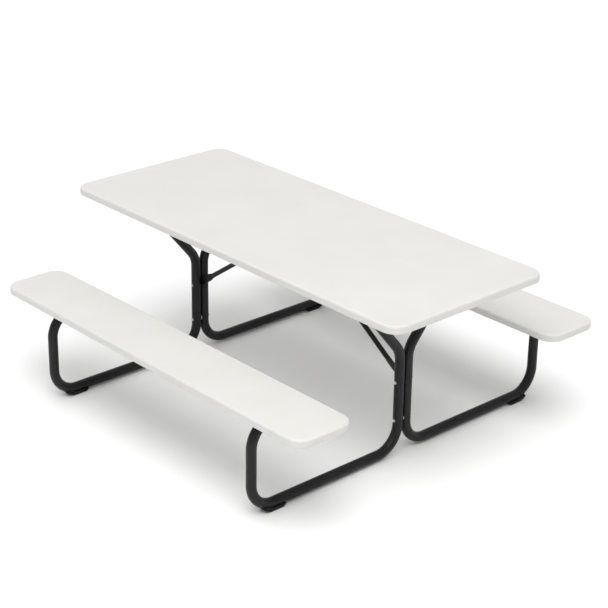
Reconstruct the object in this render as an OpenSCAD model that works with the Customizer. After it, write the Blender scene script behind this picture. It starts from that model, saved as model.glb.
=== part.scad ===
// Picnic table: two steel tube end frames carry a table top and two bench seats.
// Origin: on the floor, below the middle of the top. X runs along the table, Y across it, Z up.
// "front" is the -Y side, "rear" the +Y side, "left" the -X end and "right" the +X end.

/* [Table top] */
// Length of the table top, along X
table_l = 1830; // [1600:10:2000]
// Width of the table top, along Y
table_w = 765; // [740:5:800]
// Height of the eating surface above the floor
table_h = 724; // [700:1:760]

/* [Panels] */
// Thickness of the blow-moulded panels
panel_t = 30; // [28:1:36]
// Radius of a panel's corners, seen from above
panel_corner_r = 62; // [40:1:80]
// Radius of the rounded edge round the top face
panel_edge_r = 9; // [6:1:12]
// Thickness of the moulded skin
skin_t = 3; // [2.5:0.5:4]

/* [Benches] */
// Length of a bench seat
bench_l = 1738; // [1560:2:1900]
// Width of a bench seat
bench_w = 262; // [250:1:280]
// Height of the seat above the floor
bench_h = 412; // [400:1:440]
// Distance from the middle of the table to the middle of a bench
bench_y = 633; // [625:1:640]

/* [Frame] */
// Distance from the middle of the table to each end frame
frame_x = 592; // [570:1:620]
// Outside diameter of the frame tube
tube_d = 38; // [38:1:40]
// Wall of the frame tube
tube_wall = 1.5; // [1.2:0.1:2]
// Radius of the tube's bends, at its centre line
bend_r = 100; // [90:1:105]
// Gap between the two tubes of an end frame where they stand back to back
tube_gap = 3; // [3:0.5:5]
// Lean of the flared arms away from the vertical
flare_angle = 39.76; // [35:0.01:45]
// Height at which the uprights start to flare
flare_start_z = 381; // [360:1:400]
// Distance from the middle of the table to the open end of a table arm
table_arm_end_y = 316; // [305:1:360]
// Distance from the middle of the table to the open end of a bench arm
bench_arm_end_y = 575; // [540:1:580]
// Distance from the middle of the table to the outer upright's centre line
outer_y = 731; // [720:1:735]

/* [Feet] */
// Thickness of a foot pad under the tube
foot_t = 6; // [5:0.5:8]
// Width of a foot pad, along X
foot_w = 43; // [42:1:48]
// Distance from the middle of the table to a foot pad's inner end
foot_start_y = 586; // [575:1:592]
// Distance from the middle of the table to a foot pad's outer end
foot_end_y = 684; // [680:1:698]

/* [Braces] */
// Outside diameter of the brace tube
brace_d = 19; // [18:0.5:22]
// Wall of the brace tube
brace_wall = 1.5; // [1.2:0.1:2]
// Width of a brace's flattened ends
brace_flat_w = 29; // [26:1:32]
// Distance from the middle of the table to the bend in a brace's top end
brace_top_x = 24; // [22:1:40]

/* [Fasteners] */
// Height of the upper cross bolts, which also hold the braces
upper_bolt_z = 297; // [290:1:310]
// Height of the lower cross bolts
lower_bolt_z = 142; // [135:1:160]
// Diameter of the cross bolts
bolt_d = 6; // [6:0.5:8]
// Diameter of the panel screws
screw_d = 6; // [5:1:6]

/* [Hidden] */
$fn = 64;

// A cutting tool reaches past the surface that it opens by this much
past = 1;

// Frame tube: the straight runs between its bends
tube_r = tube_d / 2;
tube_bore_r = tube_r - tube_wall;
upright_y = tube_r + tube_gap / 2;
table_arm_z = table_h - panel_t - tube_r;
bench_arm_z = bench_h - panel_t - tube_r;
floor_z = foot_t + tube_r;
flare_rise = table_arm_z - bend_r * (1 - sin(flare_angle)) - flare_start_z - bend_r * sin(flare_angle);
flare_run = flare_rise / cos(flare_angle);
table_arm_bend_y = upright_y + bend_r * (1 - cos(flare_angle)) + flare_run * sin(flare_angle)
    + bend_r * cos(flare_angle);
table_arm_run = table_arm_end_y - table_arm_bend_y;
upright_run = flare_start_z - floor_z - bend_r;
floor_run = outer_y - upright_y - 2 * bend_r;
outer_run = bench_arm_z - floor_z - 2 * bend_r;
bench_arm_run = outer_y - bend_r - bench_arm_end_y;
// Each row is a straight run and the left turn that follows it, from the table arm's open end
TUBE_PATH = [
    [table_arm_run, 90 - flare_angle],
    [flare_run, flare_angle],
    [upright_run, 90],
    [floor_run, 90],
    [outer_run, 90],
    [bench_arm_run, 0]
];

// Panel hollow and its tack-off dimples, which stand clear of the frame tubes
table_under_z = table_h - panel_t;
bench_under_z = bench_h - panel_t;
panel_foot_r = 3;
hollow_foot_r = 1;
dimple_mouth_r = 15;
dimple_crown_r = 8;
dimple_pitch = frame_x / 5;
dimple_rim = 80;
table_dimple_rows = [-280, -140, 0, 140, 280];
bench_dimple_rows = [-60, 60];
needle_hole_r = 3;
needle_hole_x = 30;

// Panel screws stand in threaded inserts, in solid posts inside the panels
screw_r = screw_d / 2;
screw_hole_r = screw_r + 0.3;
screw_head_r = 6;
screw_head_h = 4;
screw_socket_r = 2.3;
screw_socket_depth = 2.2;
screw_washer_r = 8;
washer_t = 1.2;
insert_r = 5;
insert_l = 15;
post_r = 10;
table_screw_y = [table_arm_end_y - 18];
bench_screw_y = [bench_arm_end_y + 20, bench_arm_end_y + 44];
table_screw_places = [for (sx = [-1, 1], sy = [-1, 1], y = table_screw_y) [sx * frame_x, sy * y]];
bench_screw_places = [for (sx = [-1, 1], sy = [-1, 1], y = bench_screw_y) [sx * frame_x, sy * y]];

// Cross bolts
bolt_r = bolt_d / 2;
bolt_hole_r = bolt_r + 0.25;
bolt_hex_r = 5.8;
bolt_head_h = 4;
bolt_tip = 2;
nut_h = 5;
cross_washer_r = 6.3;
spacer_r = 11;
clamp_y = upright_y + tube_r;

// Brace: flat lower end between the uprights, round middle, flat top end under the table top
brace_flat_t = tube_gap;
brace_r = brace_d / 2;
brace_end_z = table_under_z - brace_flat_t / 2;
brace_reach_x = frame_x - brace_top_x;
brace_reach_z = brace_end_z - upper_bolt_z;
brace_angle = atan(brace_reach_z / brace_reach_x);
brace_l = norm([brace_reach_x, brace_reach_z]);
brace_flat_l = 78;
brace_taper_l = 34;
brace_top_flat_l = 12;
brace_screw_x = 14;
brace_tab_end_x = 3;
vent_r = 2;

// Foot pads follow the tube's underside on to its outer bend
foot_bevel = 11;
foot_flat_end_y = foot_end_y - 27;
foot_toe_z = 14;
foot_wall_z = floor_z - 12;
foot_rivet_y = 612;
rivet_r = 2.5;
rivet_head_r = 4.5;
rivet_head_h = 2;
rivet_recess = 1.5;
rivet_l = 12;

// Tube end caps
cap_head_t = 3;
cap_edge_r = 1.5;
cap_plug_l = 14;
cap_plug_r = tube_bore_r;

// Section through a panel's rounded edge, from the inside out to its side face
module edge_section(reach, t, top_r, foot_r) {
    square([reach - top_r, t]);
    square([reach - foot_r, t - top_r]);
    translate([0, foot_r]) square([reach, t - top_r - foot_r]);
    translate([reach - top_r, t - top_r]) circle(top_r);
    translate([reach - foot_r, foot_r]) circle(foot_r);
}

// A slab standing on z = 0 with rounded corners and a rounded top edge
module rounded_slab(l, w, t, corner_r, top_r, foot_r) {
    straight_l = l - 2 * corner_r;
    straight_w = w - 2 * corner_r;
    translate([-straight_l / 2, -straight_w / 2, 0]) cube([straight_l, straight_w, t]);
    for (side = [0, 1]) {
        mirror([0, side, 0]) translate([-straight_l / 2, straight_w / 2, 0]) rotate([90, 0, 90])
            linear_extrude(straight_l) edge_section(corner_r, t, top_r, foot_r);
        mirror([side, 0, 0]) translate([straight_l / 2, straight_w / 2, 0]) rotate([90, 0, 0])
            linear_extrude(straight_w) edge_section(corner_r, t, top_r, foot_r);
        for (end = [0, 1])
            mirror([end, 0, 0]) mirror([0, side, 0]) translate([straight_l / 2, straight_w / 2, 0])
                rotate_extrude(angle = 90) edge_section(corner_r, t, top_r, foot_r);
    }
}

function dimple_columns(l) = floor((l / 2 - dimple_rim) / dimple_pitch + 0.5);
function dimple_places(l, rows) =
    [for (i = [0 : dimple_columns(l) - 1], sx = [-1, 1], y = rows) [sx * (i + 0.5) * dimple_pitch, y]];

// A hollow panel with its underside on z = 0; screws is a list of screw places
module panel(l, w, rows, screws) {
    hollow_t = panel_t - 2 * skin_t;
    difference() {
        rounded_slab(l, w, panel_t, panel_corner_r, panel_edge_r, panel_foot_r);
        difference() {
            translate([0, 0, skin_t])
                rounded_slab(l - 2 * skin_t, w - 2 * skin_t, hollow_t,
                    panel_corner_r - skin_t, panel_edge_r - skin_t, hollow_foot_r);
            for (p = dimple_places(l, rows))
                translate([p[0], p[1], 0])
                    cylinder(r1 = dimple_mouth_r + skin_t, r2 = dimple_crown_r + skin_t, h = panel_t);
            for (p = screws)
                translate([p[0], p[1], 0]) cylinder(r = post_r, h = panel_t);
        }
        for (p = dimple_places(l, rows))
            translate([p[0], p[1], -past])
                cylinder(r1 = dimple_mouth_r, r2 = dimple_crown_r, h = hollow_t + past);
        for (p = screws)
            translate([p[0], p[1], -past]) cylinder(r = insert_r, h = insert_l + past);
        translate([needle_hole_x, rows[0], -past]) cylinder(r = needle_hole_r, h = skin_t + 2 * past);
    }
}

module table_top() {
    brace_screws_at = [[-brace_screw_x, 0], [brace_screw_x, 0]];
    color("whitesmoke") translate([0, 0, table_under_z])
        panel(table_l, table_w, table_dimple_rows, concat(table_screw_places, brace_screws_at));
}

// side is -1 for the front bench and 1 for the rear bench
module bench_seat(side) {
    screws = [for (p = bench_screw_places) if (p[1] * side > 0) [p[0], p[1] - side * bench_y]];
    color("whitesmoke") translate([0, side * bench_y, bench_under_z])
        panel(bench_l, bench_w, bench_dimple_rows, screws);
}

// Straight tube from the origin along +X, with its seam on the outside of the bends
module tube_run(l) {
    rotate([0, 90, 0]) rotate([0, 0, -90]) difference() {
        cylinder(r = tube_r, h = l);
        translate([0, 0, -past]) cylinder(r = tube_bore_r, h = l + 2 * past);
    }
}

// Left-hand bend about the origin, from the end of a run along +X
module tube_bend(turn) {
    rotate([0, 0, -90]) rotate_extrude(angle = turn) translate([bend_r, 0]) difference() {
        circle(tube_r);
        circle(tube_bore_r);
    }
}

// Tube along a flat path that starts at the origin, heads along +X and turns left
module bent_tube(path, i = 0) {
    run = path[i][0];
    turn = path[i][1];
    tube_run(run);
    if (turn > 0) {
        translate([run, bend_r, 0]) tube_bend(turn);
        translate([run, bend_r, 0]) rotate([0, 0, turn]) translate([0, -bend_r, 0])
            bent_tube(path, i + 1);
    }
}

// The path's X runs along -Y of the table and its left turns bend downwards
module place_tube_path() {
    translate([0, table_arm_end_y, table_arm_z]) rotate([-90, 0, -90]) children();
}

// One half of an end frame, on the rear side
module leg_tube() {
    color([0.1, 0.1, 0.1]) difference() {
        place_tube_path() bent_tube(TUBE_PATH);
        for (z = [upper_bolt_z, lower_bolt_z])
            translate([0, -past, z]) rotate([-90, 0, 0]) cylinder(r = bolt_hole_r, h = clamp_y + 2 * past);
        for (y = table_screw_y)
            translate([0, y, table_arm_z - tube_r - past]) cylinder(r = screw_hole_r, h = tube_d + 2 * past);
        for (y = bench_screw_y)
            translate([0, y, bench_arm_z - tube_r - past]) cylinder(r = screw_hole_r, h = tube_d + 2 * past);
        translate([0, foot_rivet_y, 0]) cylinder(r = rivet_r, h = floor_z);
    }
}

// Puts a rear half-frame piece at the left (-1) or right (1) end, on the front (-1) or rear (1) side
module at_corner(end, side) {
    translate([end * frame_x, 0, 0]) mirror([0, side < 0 ? 1 : 0, 0]) children();
}

// Where a round brace is pressed flat: its section goes from the flat end on x = 0 to the round end
module brace_taper() {
    intersection() {
        rotate([0, 90, 0])
            cylinder(r1 = norm([brace_flat_w, brace_flat_t]) / 2, r2 = brace_r, h = brace_taper_l);
        translate([0, 0, -brace_flat_w]) linear_extrude(2 * brace_flat_w) polygon([
            [0, -brace_flat_t / 2],
            [brace_taper_l, -brace_r - past],
            [brace_taper_l, brace_r + past],
            [0, brace_flat_t / 2]
        ]);
    }
}

// Side view of the flat top end in the brace's own frame, where it bends level under the table top
module brace_tab_outline() {
    bend = [brace_l, 0];
    mitre = brace_flat_t / 2 * [tan(brace_angle / 2), 1];
    tab_end = bend + (brace_top_x - brace_tab_end_x) * [cos(brace_angle), -sin(brace_angle)];
    tab_side = brace_flat_t / 2 * [sin(brace_angle), cos(brace_angle)];
    polygon([
        [brace_l - brace_top_flat_l, brace_flat_t / 2],
        bend + mitre,
        tab_end + tab_side,
        tab_end - tab_side,
        bend - mitre,
        [brace_l - brace_top_flat_l, -brace_flat_t / 2]
    ]);
}

// Puts its children at the left upper cross bolt, with X up along the brace
module along_brace() {
    translate([-frame_x, 0, upper_bolt_z]) rotate([0, -brace_angle, 0]) children();
}

// Left brace, with its bolt hole at the upper cross bolt
module brace() {
    round_start = brace_flat_l + brace_taper_l;
    round_end = brace_l - brace_top_flat_l - brace_taper_l;
    color([0.1, 0.1, 0.1]) difference() {
        along_brace() {
            rotate([90, 0, 0]) cylinder(r = brace_flat_w / 2, h = brace_flat_t, center = true);
            translate([0, -brace_flat_t / 2, -brace_flat_w / 2])
                cube([brace_flat_l, brace_flat_t, brace_flat_w]);
            translate([brace_flat_l, 0, 0]) brace_taper();
            translate([round_start, 0, 0]) rotate([0, 90, 0])
                cylinder(r = brace_r, h = round_end - round_start);
            translate([round_end + brace_taper_l, 0, 0]) rotate([90, 0, 0]) mirror([1, 0, 0]) brace_taper();
            translate([0, brace_flat_w / 2, 0]) rotate([90, 0, 0])
                linear_extrude(brace_flat_w) brace_tab_outline();
        }
        along_brace() {
            rotate([90, 0, 0]) cylinder(r = bolt_hole_r, h = brace_flat_w, center = true);
            translate([round_start, 0, 0]) rotate([0, 90, 0])
                cylinder(r = brace_r - brace_wall, h = round_end - round_start);
            translate([round_start + brace_d, 0, -brace_d]) cylinder(r = vent_r, h = brace_d);
        }
        translate([-brace_screw_x, 0, table_under_z - brace_flat_t - past])
            cylinder(r = screw_hole_r, h = brace_flat_t + 2 * past);
    }
}

// Moulded pad under the outer bend of a rear leg tube
module foot_pad() {
    color([0.06, 0.06, 0.06]) difference() {
        translate([-foot_w / 2, 0, 0]) rotate([90, 0, 90]) linear_extrude(foot_w) polygon([
            [foot_start_y + foot_bevel, 0],
            [foot_flat_end_y, 0],
            [foot_end_y, foot_toe_z],
            [foot_end_y - foot_bevel, foot_wall_z + foot_toe_z],
            [foot_flat_end_y - foot_bevel, foot_wall_z],
            [foot_start_y, foot_wall_z],
            [foot_start_y, foot_bevel]
        ]);
        translate([0, foot_start_y - past, floor_z]) rotate([-90, 0, 0])
            cylinder(r = tube_r, h = outer_y - bend_r - foot_start_y + past);
        translate([0, outer_y - bend_r, floor_z + bend_r]) rotate([0, 90, 0])
            rotate_extrude() translate([bend_r, 0]) circle(tube_r);
        translate([0, foot_rivet_y, -past]) {
            cylinder(r = rivet_r, h = floor_z);
            cylinder(r = rivet_head_r, h = rivet_head_h + rivet_recess + past);
        }
    }
}

// Plug for an open tube end: it fills z < 0 and its head stands on z = 0
module end_cap() {
    color([0.06, 0.06, 0.06]) union() {
        translate([0, 0, -cap_plug_l]) cylinder(r = cap_plug_r, h = cap_plug_l);
        rotate_extrude() {
            square([tube_r, cap_head_t - cap_edge_r]);
            square([tube_r - cap_edge_r, cap_head_t]);
            translate([tube_r - cap_edge_r, cap_head_t - cap_edge_r]) circle(cap_edge_r);
        }
    }
}

module table_arm_end_caps() {
    for (sx = [-1, 1], sy = [-1, 1])
        translate([sx * frame_x, sy * table_arm_end_y, table_arm_z]) rotate([-90 * sy, 0, 0]) end_cap();
}

module bench_arm_end_caps() {
    for (sx = [-1, 1], sy = [-1, 1])
        translate([sx * frame_x, sy * bench_arm_end_y, bench_arm_z]) rotate([90 * sy, 0, 0]) end_cap();
}

module washer(r, bore_r, t) {
    difference() {
        cylinder(r = r, h = t);
        translate([0, 0, -past]) cylinder(r = bore_r, h = t + 2 * past);
    }
}

// Puts its children at every cross bolt, with Z along +Y of the table
module at_cross_bolts() {
    for (sx = [-1, 1], z = [lower_bolt_z, upper_bolt_z])
        translate([sx * frame_x, 0, z]) rotate([-90, 0, 0]) children();
}

module cross_bolts() {
    grip = clamp_y + washer_t;
    color("silver") at_cross_bolts() {
        translate([0, 0, -grip - bolt_head_h]) cylinder(r = bolt_hex_r, h = bolt_head_h, $fn = 6);
        translate([0, 0, -grip - bolt_head_h / 2])
            cylinder(r = bolt_r, h = 2 * grip + bolt_head_h / 2 + nut_h + bolt_tip);
    }
}

module cross_bolt_washers() {
    color("silver") at_cross_bolts()
        for (side = [0, 1])
            mirror([0, 0, side]) translate([0, 0, clamp_y]) washer(cross_washer_r, bolt_hole_r, washer_t);
}

module cross_bolt_nuts() {
    color("silver") at_cross_bolts() translate([0, 0, clamp_y + washer_t]) difference() {
        cylinder(r = bolt_hex_r, h = nut_h, $fn = 6);
        translate([0, 0, -past]) cylinder(r = bolt_r, h = nut_h + 2 * past);
    }
}

module tube_spacers() {
    color("silver") for (sx = [-1, 1])
        translate([sx * frame_x, -tube_gap / 2, lower_bolt_z]) rotate([-90, 0, 0])
            washer(spacer_r, bolt_hole_r, tube_gap);
}

// Pan-head screw pointing up, with the underside of its head on z = 0
module panel_screw(l) {
    difference() {
        union() {
            translate([0, 0, -screw_head_h]) cylinder(r = screw_head_r, h = screw_head_h);
            cylinder(r = screw_r, h = l);
        }
        translate([0, 0, -screw_head_h - past])
            cylinder(r = screw_socket_r, h = screw_socket_depth + past, $fn = 6);
    }
}

module insert() {
    difference() {
        cylinder(r = insert_r, h = insert_l);
        translate([0, 0, -past]) cylinder(r = screw_r, h = insert_l + 2 * past);
    }
}

// Screws through a tube arm whose centre line is at arm_z
module arm_screws(places, arm_z) {
    color("silver") for (p = places)
        translate([p[0], p[1], arm_z - tube_r - washer_t]) panel_screw(tube_d + washer_t + insert_l - past);
}

module arm_screw_washers(places, arm_z) {
    color("silver") for (p = places)
        translate([p[0], p[1], arm_z - tube_r - washer_t]) washer(screw_washer_r, screw_hole_r, washer_t);
}

module inserts(places, z) {
    color("goldenrod") for (p = places) translate([p[0], p[1], z]) insert();
}

module brace_screws() {
    color("silver") for (sx = [-1, 1])
        translate([sx * brace_screw_x, 0, table_under_z - brace_flat_t])
            panel_screw(brace_flat_t + insert_l - past);
}

module foot_rivets() {
    color([0.06, 0.06, 0.06]) for (end = [-1, 1], side = [-1, 1])
        at_corner(end, side) translate([0, foot_rivet_y, rivet_recess]) {
            cylinder(r = rivet_head_r, h = rivet_head_h);
            cylinder(r = rivet_r, h = rivet_l);
        }
}

table_top();
bench_seat(-1);  // front_bench_seat
bench_seat(1);  // rear_bench_seat
at_corner(-1, -1) leg_tube();  // left_front_leg_tube
at_corner(-1, 1) leg_tube();  // left_rear_leg_tube
at_corner(1, -1) leg_tube();  // right_front_leg_tube
at_corner(1, 1) leg_tube();  // right_rear_leg_tube
brace();  // left_brace
mirror([1, 0, 0]) brace();  // right_brace
at_corner(-1, -1) foot_pad();  // left_front_foot_pad
at_corner(-1, 1) foot_pad();  // left_rear_foot_pad
at_corner(1, -1) foot_pad();  // right_front_foot_pad
at_corner(1, 1) foot_pad();  // right_rear_foot_pad
table_arm_end_caps();
bench_arm_end_caps();
cross_bolts();
cross_bolt_washers();
cross_bolt_nuts();
tube_spacers();
arm_screws(table_screw_places, table_arm_z);  // table_screws
arm_screw_washers(table_screw_places, table_arm_z);  // table_screw_washers
inserts(table_screw_places, table_under_z);  // table_inserts
arm_screws(bench_screw_places, bench_arm_z);  // bench_screws
arm_screw_washers(bench_screw_places, bench_arm_z);  // bench_screw_washers
inserts(bench_screw_places, bench_under_z);  // bench_inserts
brace_screws();
inserts([[-brace_screw_x, 0], [brace_screw_x, 0]], table_under_z);  // brace_inserts
foot_rivets();
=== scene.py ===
"""Looks of the picnic table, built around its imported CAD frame.

Lengths are in metres, in the CAD's frame of reference: X along the table, Y across it, Z up.
"""

import math

import bmesh
import bpy
from mathutils import Matrix, Vector


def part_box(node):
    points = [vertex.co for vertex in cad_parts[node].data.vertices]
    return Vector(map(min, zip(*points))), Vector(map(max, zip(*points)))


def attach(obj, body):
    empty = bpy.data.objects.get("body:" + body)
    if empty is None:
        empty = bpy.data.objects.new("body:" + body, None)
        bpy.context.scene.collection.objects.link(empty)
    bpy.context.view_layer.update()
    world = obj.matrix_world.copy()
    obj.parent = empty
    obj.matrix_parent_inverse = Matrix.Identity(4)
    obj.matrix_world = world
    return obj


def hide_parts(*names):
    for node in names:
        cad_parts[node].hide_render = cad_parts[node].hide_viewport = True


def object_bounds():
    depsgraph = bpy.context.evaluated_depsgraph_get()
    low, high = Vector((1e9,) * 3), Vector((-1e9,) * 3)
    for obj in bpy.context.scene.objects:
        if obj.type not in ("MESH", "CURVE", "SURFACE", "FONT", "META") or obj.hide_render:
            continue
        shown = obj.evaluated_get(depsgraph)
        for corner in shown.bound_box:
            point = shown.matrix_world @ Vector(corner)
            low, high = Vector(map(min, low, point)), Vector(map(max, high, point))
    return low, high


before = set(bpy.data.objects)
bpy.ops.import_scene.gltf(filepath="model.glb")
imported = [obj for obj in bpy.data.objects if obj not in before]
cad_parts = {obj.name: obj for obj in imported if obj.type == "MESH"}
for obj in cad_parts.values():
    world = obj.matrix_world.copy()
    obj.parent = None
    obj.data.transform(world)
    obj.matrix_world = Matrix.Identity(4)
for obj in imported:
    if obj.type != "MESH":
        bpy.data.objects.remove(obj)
cad_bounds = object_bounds()

# Panels: rounded outline, rounded top edge, small radius round the underside
PANEL_CORNER_R = 0.062
PANEL_EDGE_R = 0.009
PANEL_FOOT_R = 0.003
PANEL_CORNER_STEPS = 24
PANEL_EDGE_STEPS = 8
PANEL_SUPPORT = 0.0012
SKIN_T = 0.003
MERGE_DISTANCE = 1e-6

# Tack-off dimples in the undersides, on a grid of cells
DIMPLE_PITCH = 0.1184
DIMPLE_RIM = 0.080
TABLE_DIMPLE_ROWS = (-0.280, -0.140, 0.0, 0.140, 0.280)
BENCH_DIMPLE_ROWS = (-0.060, 0.060)
CELL_STEPS = 9
DIMPLE_PROFILE = (
    (0.0178, 0.0),
    (0.0168, 0.0),
    (0.0158, 0.0004),
    (0.0150, 0.0013),
    (0.0146, 0.0026),
    (0.0088, 0.0213),
    (0.0081, 0.0228),
    (0.0070, 0.0236),
    (0.0058, 0.0239),
    (0.0030, 0.0240),
)
NEEDLE_HOLE_R = 0.003
NEEDLE_HOLE_X = 0.030

# End frames: round tube bent in one plane
TUBE_R = 0.019
TUBE_WALL = 0.0015
BEND_R = 0.100
FLARE_ANGLE = math.radians(39.76)
FLARE_START_Z = 0.381
TUBE_SIDES = 64
BEND_STEP = math.radians(2.5)
TABLE_ARM_END_Y = 0.316
BENCH_ARM_END_Y = 0.575

# Feet
FOOT_WIDTH = 0.043
FOOT_BEVEL = 0.011
FOOT_TOE = 0.027
FOOT_TOE_Z = 0.014
FOOT_WALL_Z = 0.013
FOOT_EDGE_R = 0.0022
FOOT_EDGE_STEPS = 3
FOOT_NEST_LEAD = 0.1
FOOT_RIVET_Y = 0.612
RIVET_HEAD_R = 0.0045
RIVET_HEAD_H = 0.002
RIVET_RECESS = 0.0015

# Braces: round tube pressed flat at both ends
BRACE_R = 0.0095
BRACE_FLAT_T = 0.003
BRACE_FLAT_W = 0.029
BRACE_FLAT_L = 0.078
BRACE_TAPER_L = 0.034
BRACE_TOP_X = 0.024
BRACE_TOP_FLAT_L = 0.012
BRACE_TAB_END_X = 0.003
BRACE_TAB_CORNER_R = 0.004
BRACE_KNEE_R = 0.006
BRACE_KNEE_STEPS = 6
BRACE_VENT_R = 0.002
SECTION_SIDES = 48
TAPER_STEPS = 12

# Fasteners
BOLT_R = 0.003
HEX_R = 0.0058
BOLT_HEAD_H = 0.004
NUT_H = 0.005
# Rows of (share of the chamfer's depth, share of the corner radius)
HEX_CHAMFER = ((0.0, 0.80), (0.25, 0.88), (0.6, 0.95), (1.0, 1.02))
HEX_CHAMFER_DEPTH = 0.18 * HEX_R
BOLT_TIP = 0.002
UPPER_BOLT_Z = 0.297
LOWER_BOLT_Z = 0.142
THREAD_PITCH = 0.001
THREAD_DEPTH = 0.0006
SCREW_R = 0.003
SCREW_HEAD_R = 0.006
SCREW_HEAD_H = 0.004
SCREW_TIP_GAP = 0.001
SCREW_PLAIN_SHARE = 0.5
# Rows of (share of the head's height, share of its radius)
BUTTON_HEAD = (
    (0.0, 0.55),
    (0.05, 0.74),
    (0.18, 0.89),
    (0.40, 0.97),
    (0.65, 1.0),
    (0.93, 1.0),
    (1.0, 0.96),
)
SOCKET_R = 0.0023
SOCKET_DEPTH = 0.0022
INSERT_R = 0.005
INSERT_L = 0.015
WASHER_T = 0.0012
TABLE_SCREW_Y = (0.298,)
BENCH_SCREW_Y = (0.595, 0.619)
BRACE_SCREW_X = 0.014
FASTENER_SIDES = 48

# Studio: a sky that is bright overhead and along the horizon, a broad softbox above, a key light
# to the front right, and the camera of the photograph's view
STAGE_SIZE = 40.0
STAGE_CELLS = 8
# Rows of (height on the unit sphere, grey)
SKY = ((0.02, 1.0), (0.10, 0.22), (0.30, 0.22), (0.9, 1.20))
SOFTBOX_STRENGTH = 1.35
SOFTBOX_ANGLE = math.radians(46)
SOFTBOX_FROM = Vector((0.24, -0.27, 0.93))
KEY_PLACE = Vector((1.9, -2.0, 3.3))
KEY_TARGET = Vector((0.2, -0.1, 0.5))
KEY_SIZE = 2.4
KEY_POWER = 30.0
CAMERA_PLACE = (4.49899, -4.06824, 3.07649)
CAMERA_YAW = 2.40116
CAMERA_PITCH = 0.41537
CAMERA_ROLL = 0.01521
CAMERA_LENS = 101.38
CAMERA_SENSOR = 36.0

SMOOTH_ANGLE = math.radians(32)
HIDDEN_GAP = 0.0001


# ---------------------------------------------------------------- materials

def principled(name, sockets):
    """A node material; sockets gives the shader's plain values."""
    material = bpy.data.materials.new(name)
    material.use_nodes = True
    shader = material.node_tree.nodes["Principled BSDF"]
    for socket, value in sockets.items():
        shader.inputs[socket].default_value = value
    return material


def texture(material, kind, scale, **sockets):
    """A noise or Voronoi texture in object space; returns the node."""
    tree = material.node_tree
    coordinates = tree.nodes.new("ShaderNodeTexCoord")
    node = tree.nodes.new(kind)
    node.inputs["Scale"].default_value = scale
    for socket, value in sockets.items():
        node.inputs[socket].default_value = value
    tree.links.new(coordinates.outputs["Object"], node.inputs["Vector"])
    return node


def ramp(material, factor, stops):
    """A colour ramp driven by factor; stops is a list of (position, grey or colour)."""
    tree = material.node_tree
    node = tree.nodes.new("ShaderNodeValToRGB")
    elements = node.color_ramp.elements
    while len(elements) < len(stops):
        elements.new(0.5)
    for element, (position, colour) in zip(elements, stops):
        element.position = position
        channels = colour if isinstance(colour, tuple) else (colour, colour, colour)
        element.color = (*channels, 1.0)
    tree.links.new(factor, node.inputs["Fac"])
    return node.outputs["Color"]


def bump(material, height, distance, strength=1.0, over=None):
    """A bump from height, on top of the normal `over`."""
    tree = material.node_tree
    node = tree.nodes.new("ShaderNodeBump")
    node.inputs["Distance"].default_value = distance
    node.inputs["Strength"].default_value = strength
    tree.links.new(height, node.inputs["Height"])
    if over is not None:
        tree.links.new(over, node.inputs["Normal"])
    return node.outputs["Normal"]


def connect(material, output, socket):
    """Links output to a socket of the material's shader."""
    shader = material.node_tree.nodes["Principled BSDF"]
    material.node_tree.links.new(output, shader.inputs[socket])


def moulded_panel_plastic():
    """Off-white blow-moulded polyethylene with a fine pebbled skin."""
    m = principled("panel_plastic", {"IOR": 1.5, "Specular IOR Level": 0.42})
    mottle = texture(m, "ShaderNodeTexNoise", 5.0, Detail=4.0, Roughness=0.55)
    connect(m, ramp(m, mottle.outputs["Fac"], [
        (0.30, (0.622, 0.617, 0.590)),
        (0.55, (0.636, 0.631, 0.606)),
        (0.75, (0.648, 0.643, 0.620)),
    ]), "Base Color")
    handling = texture(m, "ShaderNodeTexNoise", 22.0, Detail=5.0, Roughness=0.6)
    connect(m, ramp(m, handling.outputs["Fac"], [(0.3, 0.47), (0.7, 0.58)]), "Roughness")
    ripple = texture(m, "ShaderNodeTexNoise", 14.0, Detail=1.0)
    pebble = texture(m, "ShaderNodeTexVoronoi", 620.0, Randomness=1.0)
    grain = texture(m, "ShaderNodeTexNoise", 1500.0, Detail=2.0)
    normal = bump(m, ripple.outputs["Fac"], 0.0012, 0.25)
    normal = bump(m, pebble.outputs["Distance"], 0.00022, 0.45, normal)
    connect(m, bump(m, grain.outputs["Fac"], 0.00010, 0.40, normal), "Normal")
    return m


def powder_coat():
    """Satin black powder coat with a faint orange peel."""
    m = principled("black_powder_coat", {"IOR": 1.5, "Specular IOR Level": 0.27})
    tone = texture(m, "ShaderNodeTexNoise", 60.0, Detail=4.0, Roughness=0.6)
    connect(m, ramp(m, tone.outputs["Fac"], [
        (0.35, (0.0068, 0.0068, 0.0072)),
        (0.70, (0.0100, 0.0100, 0.0104)),
    ]), "Base Color")
    wear = texture(m, "ShaderNodeTexNoise", 26.0, Detail=6.0, Roughness=0.65)
    connect(m, ramp(m, wear.outputs["Fac"], [(0.35, 0.36), (0.70, 0.48)]), "Roughness")
    peel = texture(m, "ShaderNodeTexNoise", 420.0, Detail=2.0)
    speck = texture(m, "ShaderNodeTexNoise", 2400.0, Detail=1.0)
    normal = bump(m, peel.outputs["Fac"], 0.00022, 0.40)
    connect(m, bump(m, speck.outputs["Fac"], 0.00006, 0.35, normal), "Normal")
    return m


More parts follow.
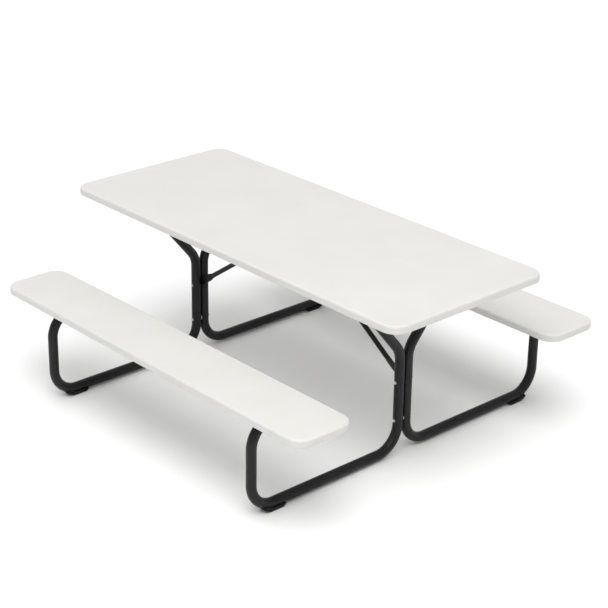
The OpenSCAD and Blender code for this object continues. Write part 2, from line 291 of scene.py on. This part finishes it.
def black_plastic():
    """Black moulded plastic of the feet, end caps and rivets."""
    m = principled("black_moulded_plastic", {"IOR": 1.48, "Specular IOR Level": 0.28})
    tone = texture(m, "ShaderNodeTexNoise", 90.0, Detail=4.0)
    connect(m, ramp(m, tone.outputs["Fac"], [
        (0.35, (0.0045, 0.0045, 0.0048)),
        (0.70, (0.0075, 0.0075, 0.0078)),
    ]), "Base Color")
    scuff = texture(m, "ShaderNodeTexNoise", 70.0, Detail=6.0, Roughness=0.7)
    connect(m, ramp(m, scuff.outputs["Fac"], [(0.35, 0.52), (0.70, 0.68)]), "Roughness")
    grain = texture(m, "ShaderNodeTexVoronoi", 1300.0, Randomness=1.0)
    connect(m, bump(m, grain.outputs["Distance"], 0.00012, 0.45), "Normal")
    return m


def zinc_plate():
    """Bright zinc plate with a faint cloudy passivation."""
    m = principled("zinc_plate", {"Metallic": 1.0})
    cloud = texture(m, "ShaderNodeTexNoise", 240.0, Detail=4.0, Roughness=0.6)
    connect(m, ramp(m, cloud.outputs["Fac"], [
        (0.30, (0.560, 0.570, 0.590)),
        (0.55, (0.700, 0.705, 0.710)),
        (0.75, (0.770, 0.760, 0.735)),
    ]), "Base Color")
    haze = texture(m, "ShaderNodeTexNoise", 600.0, Detail=5.0, Roughness=0.7)
    connect(m, ramp(m, haze.outputs["Fac"], [(0.3, 0.24), (0.7, 0.40)]), "Roughness")
    spangle = texture(m, "ShaderNodeTexVoronoi", 1600.0, Randomness=1.0)
    connect(m, bump(m, spangle.outputs["Distance"], 0.00006, 0.35), "Normal")
    return m


def insert_brass():
    """Turned brass of the threaded inserts."""
    m = principled("insert_brass", {"Metallic": 1.0})
    tarnish = texture(m, "ShaderNodeTexNoise", 300.0, Detail=5.0)
    connect(m, ramp(m, tarnish.outputs["Fac"], [
        (0.35, (0.560, 0.390, 0.150)),
        (0.70, (0.740, 0.560, 0.250)),
    ]), "Base Color")
    haze = texture(m, "ShaderNodeTexNoise", 700.0, Detail=4.0)
    connect(m, ramp(m, haze.outputs["Fac"], [(0.3, 0.25), (0.7, 0.42)]), "Roughness")
    turning = texture(m, "ShaderNodeTexNoise", 1800.0, Detail=2.0)
    connect(m, bump(m, turning.outputs["Fac"], 0.00008, 0.40), "Normal")
    return m


def studio_floor():
    """Matt white floor paper."""
    m = principled("floor_paper", {"Specular IOR Level": 0.1})
    tooth = texture(m, "ShaderNodeTexNoise", 3.0, Detail=3.0)
    connect(m, ramp(m, tooth.outputs["Fac"], [(0.3, 0.90), (0.7, 0.915)]), "Base Color")
    connect(m, ramp(m, tooth.outputs["Fac"], [(0.3, 0.85), (0.7, 0.90)]), "Roughness")
    return m


PANEL = moulded_panel_plastic()
STEEL = powder_coat()
PLASTIC = black_plastic()
ZINC = zinc_plate()
BRASS = insert_brass()


# ---------------------------------------------------------------- mesh tools

def ring(bm, points):
    """New vertices at the points."""
    return [bm.verts.new(p) for p in points]


def bridge(bm, a, b):
    """Quads between two closed rings of the same length."""
    for i in range(len(a)):
        j = (i + 1) % len(a)
        bm.faces.new((a[i], a[j], b[j], b[i]))


def loft(bm, rings, closed=False):
    """Skin through rings of points; open lofts get a flat face at each end."""
    made = [ring(bm, points) for points in rings]
    for a, b in zip(made, made[1:]):
        bridge(bm, a, b)
    if closed:
        bridge(bm, made[-1], made[0])
    else:
        bm.faces.new(made[0])
        bm.faces.new(made[-1])


def new_object(name, bm):
    """An object with bm's mesh, its faces turned outwards."""
    bmesh.ops.recalc_face_normals(bm, faces=bm.faces)
    mesh = bpy.data.meshes.new(name)
    bm.to_mesh(mesh)
    bm.free()
    made = bpy.data.objects.new(name, mesh)
    bpy.context.scene.collection.objects.link(made)
    return made


def cut(piece, cutter_bm):
    """Takes the cutter's shape out of the piece."""
    cutter = new_object("cutter", cutter_bm)
    modifier = piece.modifiers.new("cut", "BOOLEAN")
    modifier.object = cutter
    modifier.solver = "MANIFOLD"
    depsgraph = bpy.context.evaluated_depsgraph_get()
    result = bpy.data.meshes.new_from_object(piece.evaluated_get(depsgraph))
    piece.modifiers.remove(modifier)
    piece.data = result
    bpy.data.objects.remove(cutter)


def dress(piece, material, slot, *nodes):
    """Shading, finish and place in the frame for a finished piece that stands for CAD nodes."""
    piece.data.shade_smooth()
    piece.data.set_sharp_from_angle(angle=SMOOTH_ANGLE)
    piece.data.materials.clear()
    piece.data.materials.append(material)
    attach(piece, "root")
    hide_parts(*nodes)


def circle(centre, radius, across, along, sides):
    """Ring of points in the plane of the unit vectors across and along."""
    return [centre + radius * (math.cos(a) * across + math.sin(a) * along)
            for a in (2 * math.pi * i / sides for i in range(sides))]


def cylinder(bm, x, y, z, radius, height):
    """An upright cylinder on the point (x, y, z)."""
    across, along = Vector((1, 0, 0)), Vector((0, 1, 0))
    loft(bm, [circle(Vector((x, y, level)), radius, across, along, FASTENER_SIDES)
              for level in (z, z + height)])


# ---------------------------------------------------------------- panels

QUARTERS = ((1, 1), (-1, 1), (-1, -1), (1, -1))


def outline(half_l, half_w, inset, z):
    """Rounded rectangle, inset from the panel's full outline."""
    points = []
    for quarter, (sx, sy) in enumerate(QUARTERS):
        for i in range(PANEL_CORNER_STEPS + 1):
            a = (quarter + i / PANEL_CORNER_STEPS) * math.pi / 2
            reach = PANEL_CORNER_R - inset
            points.append(Vector((
                sx * (half_l - PANEL_CORNER_R) + reach * math.cos(a),
                sy * (half_w - PANEL_CORNER_R) + reach * math.sin(a),
                z,
            )))
    return points


def edge_profile(thickness):
    """(inset, height) up the panel's edge, from its underside to its top face."""
    profile = [(PANEL_FOOT_R + PANEL_SUPPORT, 0.0)]
    for i in range(PANEL_EDGE_STEPS + 1):
        a = i / PANEL_EDGE_STEPS * math.pi / 2
        profile.append((PANEL_FOOT_R * (1 - math.sin(a)), PANEL_FOOT_R * (1 - math.cos(a))))
    profile.append((0.0, PANEL_FOOT_R + PANEL_SUPPORT))
    profile.append((0.0, thickness - PANEL_EDGE_R - PANEL_SUPPORT))
    for i in range(PANEL_EDGE_STEPS + 1):
        a = i / PANEL_EDGE_STEPS * math.pi / 2
        inset = PANEL_EDGE_R * (1 - math.cos(a))
        profile.append((inset, thickness - PANEL_EDGE_R * (1 - math.sin(a))))
    profile.append((PANEL_EDGE_R + PANEL_SUPPORT, thickness))
    return profile


def dimple_cell(bm, x, y, half_l, half_w):
    """One rectangle of the underside, with a tack-off dimple in its middle."""
    corners = [Vector((sx * half_l, sy * half_w, 0)) for sx, sy in QUARTERS]
    middle = Vector((x, y, 0))
    border = []
    for side in range(4):
        for i in range(CELL_STEPS):
            corner, following = corners[side], corners[(side + 1) % 4]
            border.append(middle + corner.lerp(following, i / CELL_STEPS))
    last = ring(bm, border)
    turns = [math.pi / 4 + 2 * math.pi * i / len(border) for i in range(len(border))]
    for radius, height in DIMPLE_PROFILE:
        level = ring(bm, [
            middle + Vector((radius * math.cos(a), radius * math.sin(a), height)) for a in turns
        ])
        bridge(bm, last, level)
        last = level
    bm.faces.new(last)


def panel(name, node, dimple_rows, holes):
    """A panel in the CAD node's box. Holes are (x, y, radius, depth) in its underside."""
    low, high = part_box(node)
    centre = Vector(((low.x + high.x) / 2, (low.y + high.y) / 2, low.z))
    half_l, half_w = (high.x - low.x) / 2, (high.y - low.y) / 2
    bm = bmesh.new()
    edge = edge_profile(high.z - low.z)
    rings = [ring(bm, outline(half_l, half_w, inset, z)) for inset, z in edge]
    for a, b in zip(rings, rings[1:]):
        bridge(bm, a, b)
    bm.faces.new(rings[-1])

    columns = math.floor((half_l - DIMPLE_RIM) / DIMPLE_PITCH + 0.5)
    row_pitch = dimple_rows[1] - dimple_rows[0]
    for y in dimple_rows:
        for i in range(-columns, columns):
            dimple_cell(bm, (i + 0.5) * DIMPLE_PITCH, y, DIMPLE_PITCH / 2, row_pitch / 2)
    bmesh.ops.remove_doubles(bm, verts=bm.verts, dist=MERGE_DISTANCE)
    open_edges = [e for e in bm.edges if len(e.link_faces) == 1]
    bmesh.ops.triangle_fill(bm, use_beauty=True, edges=open_edges, normal=(0, 0, -1))
    bm.transform(Matrix.Translation(centre))
    piece = new_object(name, bm)

    cutter = bmesh.new()
    for x, y, radius, depth in holes:
        cylinder(cutter, x, y, low.z - SKIN_T, radius, SKIN_T + depth)
    cut(piece, cutter)
    dress(piece, PANEL, "panel", node)


ENDS = (("left", -1), ("right", 1))
SIDES = (("front", -1), ("rear", 1))
frame_low, frame_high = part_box("right_rear_leg_tube")
FRAME_X = (frame_low.x + frame_high.x) / 2


def insert_holes(places):
    """Holes for the threaded inserts at the (x, y) places."""
    return [(x, y, INSERT_R + HIDDEN_GAP, INSERT_L) for x, y in places]


def at_every_corner(y_places):
    """(x, y) on the arms of all four corners, for places given on one."""
    return [(sx * FRAME_X, sy * y) for sx in (-1, 1) for sy in (-1, 1) for y in y_places]


table_screws_at = at_every_corner(TABLE_SCREW_Y)
bench_screws_at = at_every_corner(BENCH_SCREW_Y)
brace_screws_at = [(-BRACE_SCREW_X, 0.0), (BRACE_SCREW_X, 0.0)]

panel("table_top_moulding", "table_top", TABLE_DIMPLE_ROWS,
      insert_holes(table_screws_at + brace_screws_at)
      + [(NEEDLE_HOLE_X, TABLE_DIMPLE_ROWS[0], NEEDLE_HOLE_R, SKIN_T)])
for side_name, side in SIDES:
    node = f"{side_name}_bench_seat"
    bench_low, bench_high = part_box(node)
    bench_y = (bench_low.y + bench_high.y) / 2
    panel(f"{side_name}_bench_moulding", node, BENCH_DIMPLE_ROWS,
          insert_holes([(x, y) for x, y in bench_screws_at if y * side > 0])
          + [(NEEDLE_HOLE_X, bench_y + BENCH_DIMPLE_ROWS[0], NEEDLE_HOLE_R, SKIN_T)])


# ---------------------------------------------------------------- end frames

FLOOR_RUN_Z = frame_low.z + TUBE_R
TABLE_ARM_Z = frame_high.z - TUBE_R
BENCH_ARM_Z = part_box("rear_bench_seat")[0].z - TUBE_R
UPRIGHT_Y = frame_low.y + TUBE_R
OUTER_Y = frame_high.y - TUBE_R


def follow(y, z, heading, steps):
    """(point, direction) along a path in the plane of the right frame.

    Each step is (run, left turn). Heading 0 looks along -Y.
    """
    def ahead():
        return Vector((0, -math.cos(heading), -math.sin(heading)))

    def outwards():
        return Vector((0, -math.sin(heading), math.cos(heading)))

    point = Vector((FRAME_X, y, z))
    line = [(point, ahead())]
    for run, turn in steps:
        point = point + run * ahead()
        line.append((point, ahead()))
        if turn:
            centre = point - BEND_R * outwards()
            first, count = heading, math.ceil(turn / BEND_STEP)
            for i in range(1, count + 1):
                heading = first + turn * i / count
                point = centre + BEND_R * outwards()
                line.append((point, ahead()))
    return line


def tube_line():
    """Centre line of the right rear tube, from the table arm's open end to the bench arm's."""
    square = math.pi / 2
    cos_f, sin_f = math.cos(FLARE_ANGLE), math.sin(FLARE_ANGLE)
    flare_rise = TABLE_ARM_Z - BEND_R * (1 - sin_f) - FLARE_START_Z - BEND_R * sin_f
    flare_run = flare_rise / cos_f
    table_arm_bend_y = UPRIGHT_Y + BEND_R * (1 - cos_f) + flare_run * sin_f + BEND_R * cos_f
    return follow(TABLE_ARM_END_Y, TABLE_ARM_Z, 0.0, [
        (TABLE_ARM_END_Y - table_arm_bend_y, square - FLARE_ANGLE),
        (flare_run, FLARE_ANGLE),
        (FLARE_START_Z - FLOOR_RUN_Z - BEND_R, square),
        (OUTER_Y - UPRIGHT_Y - 2 * BEND_R, square),
        (BENCH_ARM_Z - FLOOR_RUN_Z - 2 * BEND_R, square),
        (OUTER_Y - BEND_R - BENCH_ARM_END_Y, 0.0),
    ])


def tube_rings(line, radius):
    """Circles round a centre line."""
    across = Vector((1, 0, 0))
    return [circle(point, radius, across, across.cross(ahead), TUBE_SIDES) for point, ahead in line]


def at_corner(bm, end, side):
    """Moves a piece of the right rear corner to another corner of the table."""
    bm.transform(Matrix.Diagonal((end, side, 1, 1)))


def foot_outline():
    """Side view of the right rear foot pad, as (y, z)."""
    low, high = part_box("right_rear_foot_pad")
    flat_end = high.y - FOOT_TOE
    return [
        (low.y + FOOT_BEVEL, low.z),
        (flat_end, low.z),
        (high.y, FOOT_TOE_Z),
        (high.y - FOOT_BEVEL, FOOT_WALL_Z + FOOT_TOE_Z),
        (flat_end - FOOT_BEVEL, FOOT_WALL_Z),
        (low.y, FOOT_WALL_Z),
        (low.y, FOOT_BEVEL),
    ]


for end_name, end in ENDS:
    for side_name, side in SIDES:
        bm = bmesh.new()
        line = tube_line()
        loft(bm, tube_rings(line, TUBE_R) + tube_rings(line, TUBE_R - TUBE_WALL)[::-1], closed=True)
        at_corner(bm, end, side)
        dress(new_object(f"{end_name}_{side_name}_frame_tube", bm), STEEL, "frame_steel",
              f"{end_name}_{side_name}_leg_tube")

        bm = bmesh.new()
        loft(bm, [[Vector((FRAME_X + half, y, z)) for y, z in foot_outline()]
                  for half in (-FOOT_WIDTH / 2, FOOT_WIDTH / 2)])
        bmesh.ops.bevel(bm, geom=bm.edges[:], offset=FOOT_EDGE_R, segments=FOOT_EDGE_STEPS,
                        affect="EDGES", profile=0.5)
        at_corner(bm, end, side)
        foot = new_object(f"{end_name}_{side_name}_foot", bm)
        bm = bmesh.new()
        nest_run = OUTER_Y - BEND_R - FOOT_RIVET_Y + FOOT_NEST_LEAD
        nest = follow(FOOT_RIVET_Y - FOOT_NEST_LEAD, FLOOR_RUN_Z, math.pi,
                      [(nest_run, math.pi / 2)])
        loft(bm, tube_rings(nest, TUBE_R + HIDDEN_GAP))
        cylinder(bm, FRAME_X, FOOT_RIVET_Y, -RIVET_RECESS,
                 RIVET_HEAD_R + HIDDEN_GAP, 2 * RIVET_RECESS + RIVET_HEAD_H)
        at_corner(bm, end, side)
        cut(foot, bm)
        dress(foot, PLASTIC, "black_plastic", f"{end_name}_{side_name}_foot_pad")


# ---------------------------------------------------------------- braces

TABLE_UNDER_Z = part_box("table_top")[0].z


def pressed_section(centre, up, half_up, half_side):
    """Ring round a tube section, pressed flat where its two half sizes differ."""
    radius = min(half_up, half_side)
    side = Vector((0, 1, 0))
    points = []
    for i in range(SECTION_SIDES):
        a = 2 * math.pi * (i + 0.5) / SECTION_SIDES
        u = radius * math.cos(a) + math.copysign(half_up - radius, math.cos(a))
        v = radius * math.sin(a) + math.copysign(half_side - radius, math.sin(a))
        points.append(centre + u * up + v * side)
    return points


def ease(t):
    """Smooth step from 0 to 1."""
    return t * t * (3 - 2 * t)


def brace_rings():
    """Sections of the left brace, from its bolt end to its top tab, and its vent's place."""
    wide, thin = BRACE_FLAT_W / 2, BRACE_FLAT_T / 2
    foot = Vector((-FRAME_X, 0, UPPER_BOLT_Z))
    knee = Vector((-BRACE_TOP_X, 0, TABLE_UNDER_Z - thin))
    slope = (knee - foot).normalized()
    length = (knee - foot).length
    angle = math.atan2(slope.z, slope.x)
    up = Vector((-slope.z, 0, slope.x))
    rings = []

    def add(along, half_up, half_side):
        rings.append(pressed_section(foot + along * slope, up, half_up, half_side))

    first = math.asin(thin / wide)
    for i in range(TAPER_STEPS + 1):
        a = first + (math.pi / 2 - first) * i / TAPER_STEPS
        add(-wide * math.cos(a), wide * math.sin(a), thin)
    round_start = BRACE_FLAT_L + BRACE_TAPER_L
    round_end = length - BRACE_TOP_FLAT_L - BRACE_TAPER_L
    for i in range(TAPER_STEPS + 1):
        t = ease(i / TAPER_STEPS)
        add(BRACE_FLAT_L + BRACE_TAPER_L * i / TAPER_STEPS,
            wide + (BRACE_R - wide) * t, thin + (BRACE_R - thin) * t)
    for i in range(TAPER_STEPS + 1):
        t = ease(i / TAPER_STEPS)
        add(round_end + BRACE_TAPER_L * i / TAPER_STEPS,
            BRACE_R + (thin - BRACE_R) * t, BRACE_R + (wide - BRACE_R) * t)

    reach = BRACE_KNEE_R * math.tan(angle / 2)
    hub = foot + (length - reach) * slope - BRACE_KNEE_R * up
    for i in range(BRACE_KNEE_STEPS + 1):
        a = angle * (1 - i / BRACE_KNEE_STEPS)
        out = Vector((-math.sin(a), 0, math.cos(a)))
        rings.append(pressed_section(hub + BRACE_KNEE_R * out, out, thin, wide))
    level = Vector((0, 0, 1))
    for i in range(BRACE_KNEE_STEPS + 1):
        a = math.pi / 2 * i / BRACE_KNEE_STEPS
        x = -BRACE_TAB_END_X - BRACE_TAB_CORNER_R * (1 - math.sin(a))
        half_side = wide - BRACE_TAB_CORNER_R * (1 - math.cos(a))
        rings.append(pressed_section(Vector((x, 0, knee.z)), level, thin, half_side))
    vent = foot + (round_start + 2 * BRACE_R) * slope
    return rings, vent


for end_name, end in ENDS:
    bm = bmesh.new()
    rings, vent = brace_rings()
    loft(bm, rings)
    bm.transform(Matrix.Diagonal((-end, 1, 1, 1)))
    brace = new_object(f"{end_name}_brace_tube", bm)
    bm = bmesh.new()
    cylinder(bm, vent.x, vent.y, vent.z - 2 * BRACE_R, BRACE_VENT_R, 2 * BRACE_R)
    bm.transform(Matrix.Diagonal((-end, 1, 1, 1)))
    cut(brace, bm)
    dress(brace, STEEL, "frame_steel", f"{end_name}_brace")


# ---------------------------------------------------------------- fasteners

def turned(bm, profile, place, closed=False):
    """A turned or hexagonal solid about place's Z.

    Profile rows are (height, radius, hexagon's corner radius or None).
    """
    rings = []
    for height, radius, hex_radius in profile:
        points = []
        for i in range(FASTENER_SIDES):
            a = 2 * math.pi * i / FASTENER_SIDES
            reach = radius
            if hex_radius:
                off_flat = a % (math.pi / 3) - math.pi / 6
                reach = min(radius, hex_radius * math.cos(math.pi / 6) / math.cos(off_flat))
            points.append(place @ Vector((reach * math.cos(a), reach * math.sin(a), height)))
        rings.append(points)
    loft(bm, rings, closed)


def hex_side(low, high, low_chamfer, high_chamfer):
    """Profile rows up a hexagon's side, with turned chamfers at the ends that ask for one."""
    def end_rows(height, inwards):
        return [(height + inwards * HEX_CHAMFER_DEPTH * depth, share * HEX_R, HEX_R)
                for depth, share in HEX_CHAMFER]

    bottom = end_rows(low, 1) if low_chamfer else [(low, HEX_R, HEX_R)]
    top = end_rows(high, -1)[::-1] if high_chamfer else [(high, HEX_R, HEX_R)]
    return bottom + top


def threads(start, end, radius):
    """Profile rows of thread ridges between two heights."""
    rows = []
    count = max(1, round((end - start) / THREAD_PITCH))
    pitch = (end - start) / count
    for i in range(count):
        rows.append((start + i * pitch, radius - THREAD_DEPTH, None))
        rows.append((start + (i + 0.5) * pitch, radius, None))
    return rows


CLAMP_Y = UPRIGHT_Y + TUBE_R + WASHER_T
to_rear = Matrix.Rotation(-math.pi / 2, 4, "X")
bolts, nuts = bmesh.new(), bmesh.new()
for end in (-1, 1):
    for z in (LOWER_BOLT_Z, UPPER_BOLT_Z):
        place = Matrix.Translation((end * FRAME_X, 0, z)) @ to_rear
        tip = CLAMP_Y + NUT_H + BOLT_TIP
        bolt_profile = hex_side(-CLAMP_Y - BOLT_HEAD_H, -CLAMP_Y, True, False)
        bolt_profile += [(-CLAMP_Y, BOLT_R, None)]
        bolt_profile += threads(CLAMP_Y, tip - THREAD_PITCH, BOLT_R)
        bolt_profile += [(tip - THREAD_PITCH / 2, BOLT_R - THREAD_DEPTH / 2, None)]
        bolt_profile += [(tip, BOLT_R - 2 * THREAD_DEPTH, None)]
        turned(bolts, bolt_profile, place)
        bore, nut_top = BOLT_R + HIDDEN_GAP, CLAMP_Y + NUT_H
        nut_profile = [(CLAMP_Y, bore, None)]
        nut_profile += hex_side(CLAMP_Y, nut_top, True, True)
        nut_profile += [(nut_top, bore + THREAD_DEPTH, None), (nut_top - THREAD_DEPTH, bore, None)]
        turned(nuts, nut_profile, place, closed=True)
dress(new_object("hex_bolts", bolts), ZINC, "zinc", "cross_bolts")
dress(new_object("hex_nuts", nuts), ZINC, "zinc", "cross_bolt_nuts")


def panel_screws(name, node, places, seat_z, length):
    """Button-head socket screws that point up, with their heads' undersides at seat_z."""
    bm = bmesh.new()
    top = -SCREW_HEAD_H
    profile = [(top + SOCKET_DEPTH, SOCKET_R, SOCKET_R), (top, SOCKET_R, SOCKET_R)]
    profile += [(top + SCREW_HEAD_H * h, SCREW_HEAD_R * r, None) for h, r in BUTTON_HEAD]
    profile += [(0.0, SCREW_R, None)]
    profile += threads(length * SCREW_PLAIN_SHARE, length - THREAD_PITCH, SCREW_R)
    profile += [(length, SCREW_R - 2 * THREAD_DEPTH, None)]
    for x, y in places:
        turned(bm, profile, Matrix.Translation((x, y, seat_z)))
    dress(new_object(name, bm), ZINC, "zinc", node)


ARM_SCREW_L = 2 * TUBE_R + WASHER_T + INSERT_L - SCREW_TIP_GAP
panel_screws("top_screws", "table_screws", table_screws_at,
             TABLE_ARM_Z - TUBE_R - WASHER_T, ARM_SCREW_L)
panel_screws("seat_screws", "bench_screws", bench_screws_at,
             BENCH_ARM_Z - TUBE_R - WASHER_T, ARM_SCREW_L)
panel_screws("tab_screws", "brace_screws", brace_screws_at, TABLE_UNDER_Z - BRACE_FLAT_T,
             BRACE_FLAT_T + INSERT_L - SCREW_TIP_GAP)

FINISHES = {
    "table_arm_end_caps": PLASTIC,
    "bench_arm_end_caps": PLASTIC,
    "foot_rivets": PLASTIC,
    "cross_bolt_washers": ZINC,
    "table_screw_washers": ZINC,
    "bench_screw_washers": ZINC,
    "tube_spacers": ZINC,
    "table_inserts": BRASS,
    "bench_inserts": BRASS,
    "brace_inserts": BRASS,
}
for node, material in FINISHES.items():
    for material_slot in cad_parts[node].material_slots:
        material_slot.material = material


# ---------------------------------------------------------------- stage, light and camera

bm = bmesh.new()
bmesh.ops.create_grid(bm, x_segments=STAGE_CELLS, y_segments=STAGE_CELLS, size=STAGE_SIZE)
bm.transform(Matrix.Translation((0, 0, cad_bounds[0][2])))
floor = new_object("floor", bm)
floor.data.materials.append(studio_floor())

world = bpy.data.worlds.new("studio")
bpy.context.scene.world = world
world.use_nodes = True
tree = world.node_tree
direction = tree.nodes.new("ShaderNodeTexCoord")
split = tree.nodes.new("ShaderNodeSeparateXYZ")
sky = tree.nodes.new("ShaderNodeValToRGB")
tree.links.new(direction.outputs["Generated"], split.inputs["Vector"])
tree.links.new(split.outputs["Z"], sky.inputs["Fac"])
tree.links.new(sky.outputs["Color"], tree.nodes["Background"].inputs["Color"])
while len(sky.color_ramp.elements) < len(SKY):
    sky.color_ramp.elements.new(0.5)
for element, (position, grey) in zip(sky.color_ramp.elements, SKY):
    element.position = position
    element.color = (grey, grey, grey, 1.0)

softbox = bpy.data.lights.new("softbox", "SUN")
softbox.energy = SOFTBOX_STRENGTH
softbox.angle = SOFTBOX_ANGLE
softbox_object = bpy.data.objects.new("softbox", softbox)
softbox_object.rotation_euler = SOFTBOX_FROM.to_track_quat("Z", "Y").to_euler()
bpy.context.scene.collection.objects.link(softbox_object)
key = bpy.data.lights.new("key", "AREA")
key.shape = "SQUARE"
key.size = KEY_SIZE
key.energy = KEY_POWER
key_object = bpy.data.objects.new("key", key)
key_object.location = KEY_PLACE
key_object.rotation_euler = (KEY_PLACE - KEY_TARGET).to_track_quat("Z", "Y").to_euler()
bpy.context.scene.collection.objects.link(key_object)

ahead = Vector((
    math.cos(CAMERA_YAW) * math.cos(CAMERA_PITCH),
    math.sin(CAMERA_YAW) * math.cos(CAMERA_PITCH),
    -math.sin(CAMERA_PITCH),
))
right = Matrix.Rotation(-CAMERA_ROLL, 3, ahead) @ ahead.cross(Vector((0, 0, 1))).normalized()
up = right.cross(ahead)
camera = bpy.data.objects.new("camera", bpy.data.cameras.new("camera"))
camera.data.lens = CAMERA_LENS
camera.data.sensor_width = CAMERA_SENSOR
camera.data.clip_end = 2 * STAGE_SIZE
camera_turn = Matrix((right, up, -ahead)).transposed().to_4x4()
camera.matrix_world = Matrix.Translation(CAMERA_PLACE) @ camera_turn
bpy.context.scene.collection.objects.link(camera)
bpy.context.scene.camera = camera

bpy.context.scene.view_settings.view_transform = "Standard"
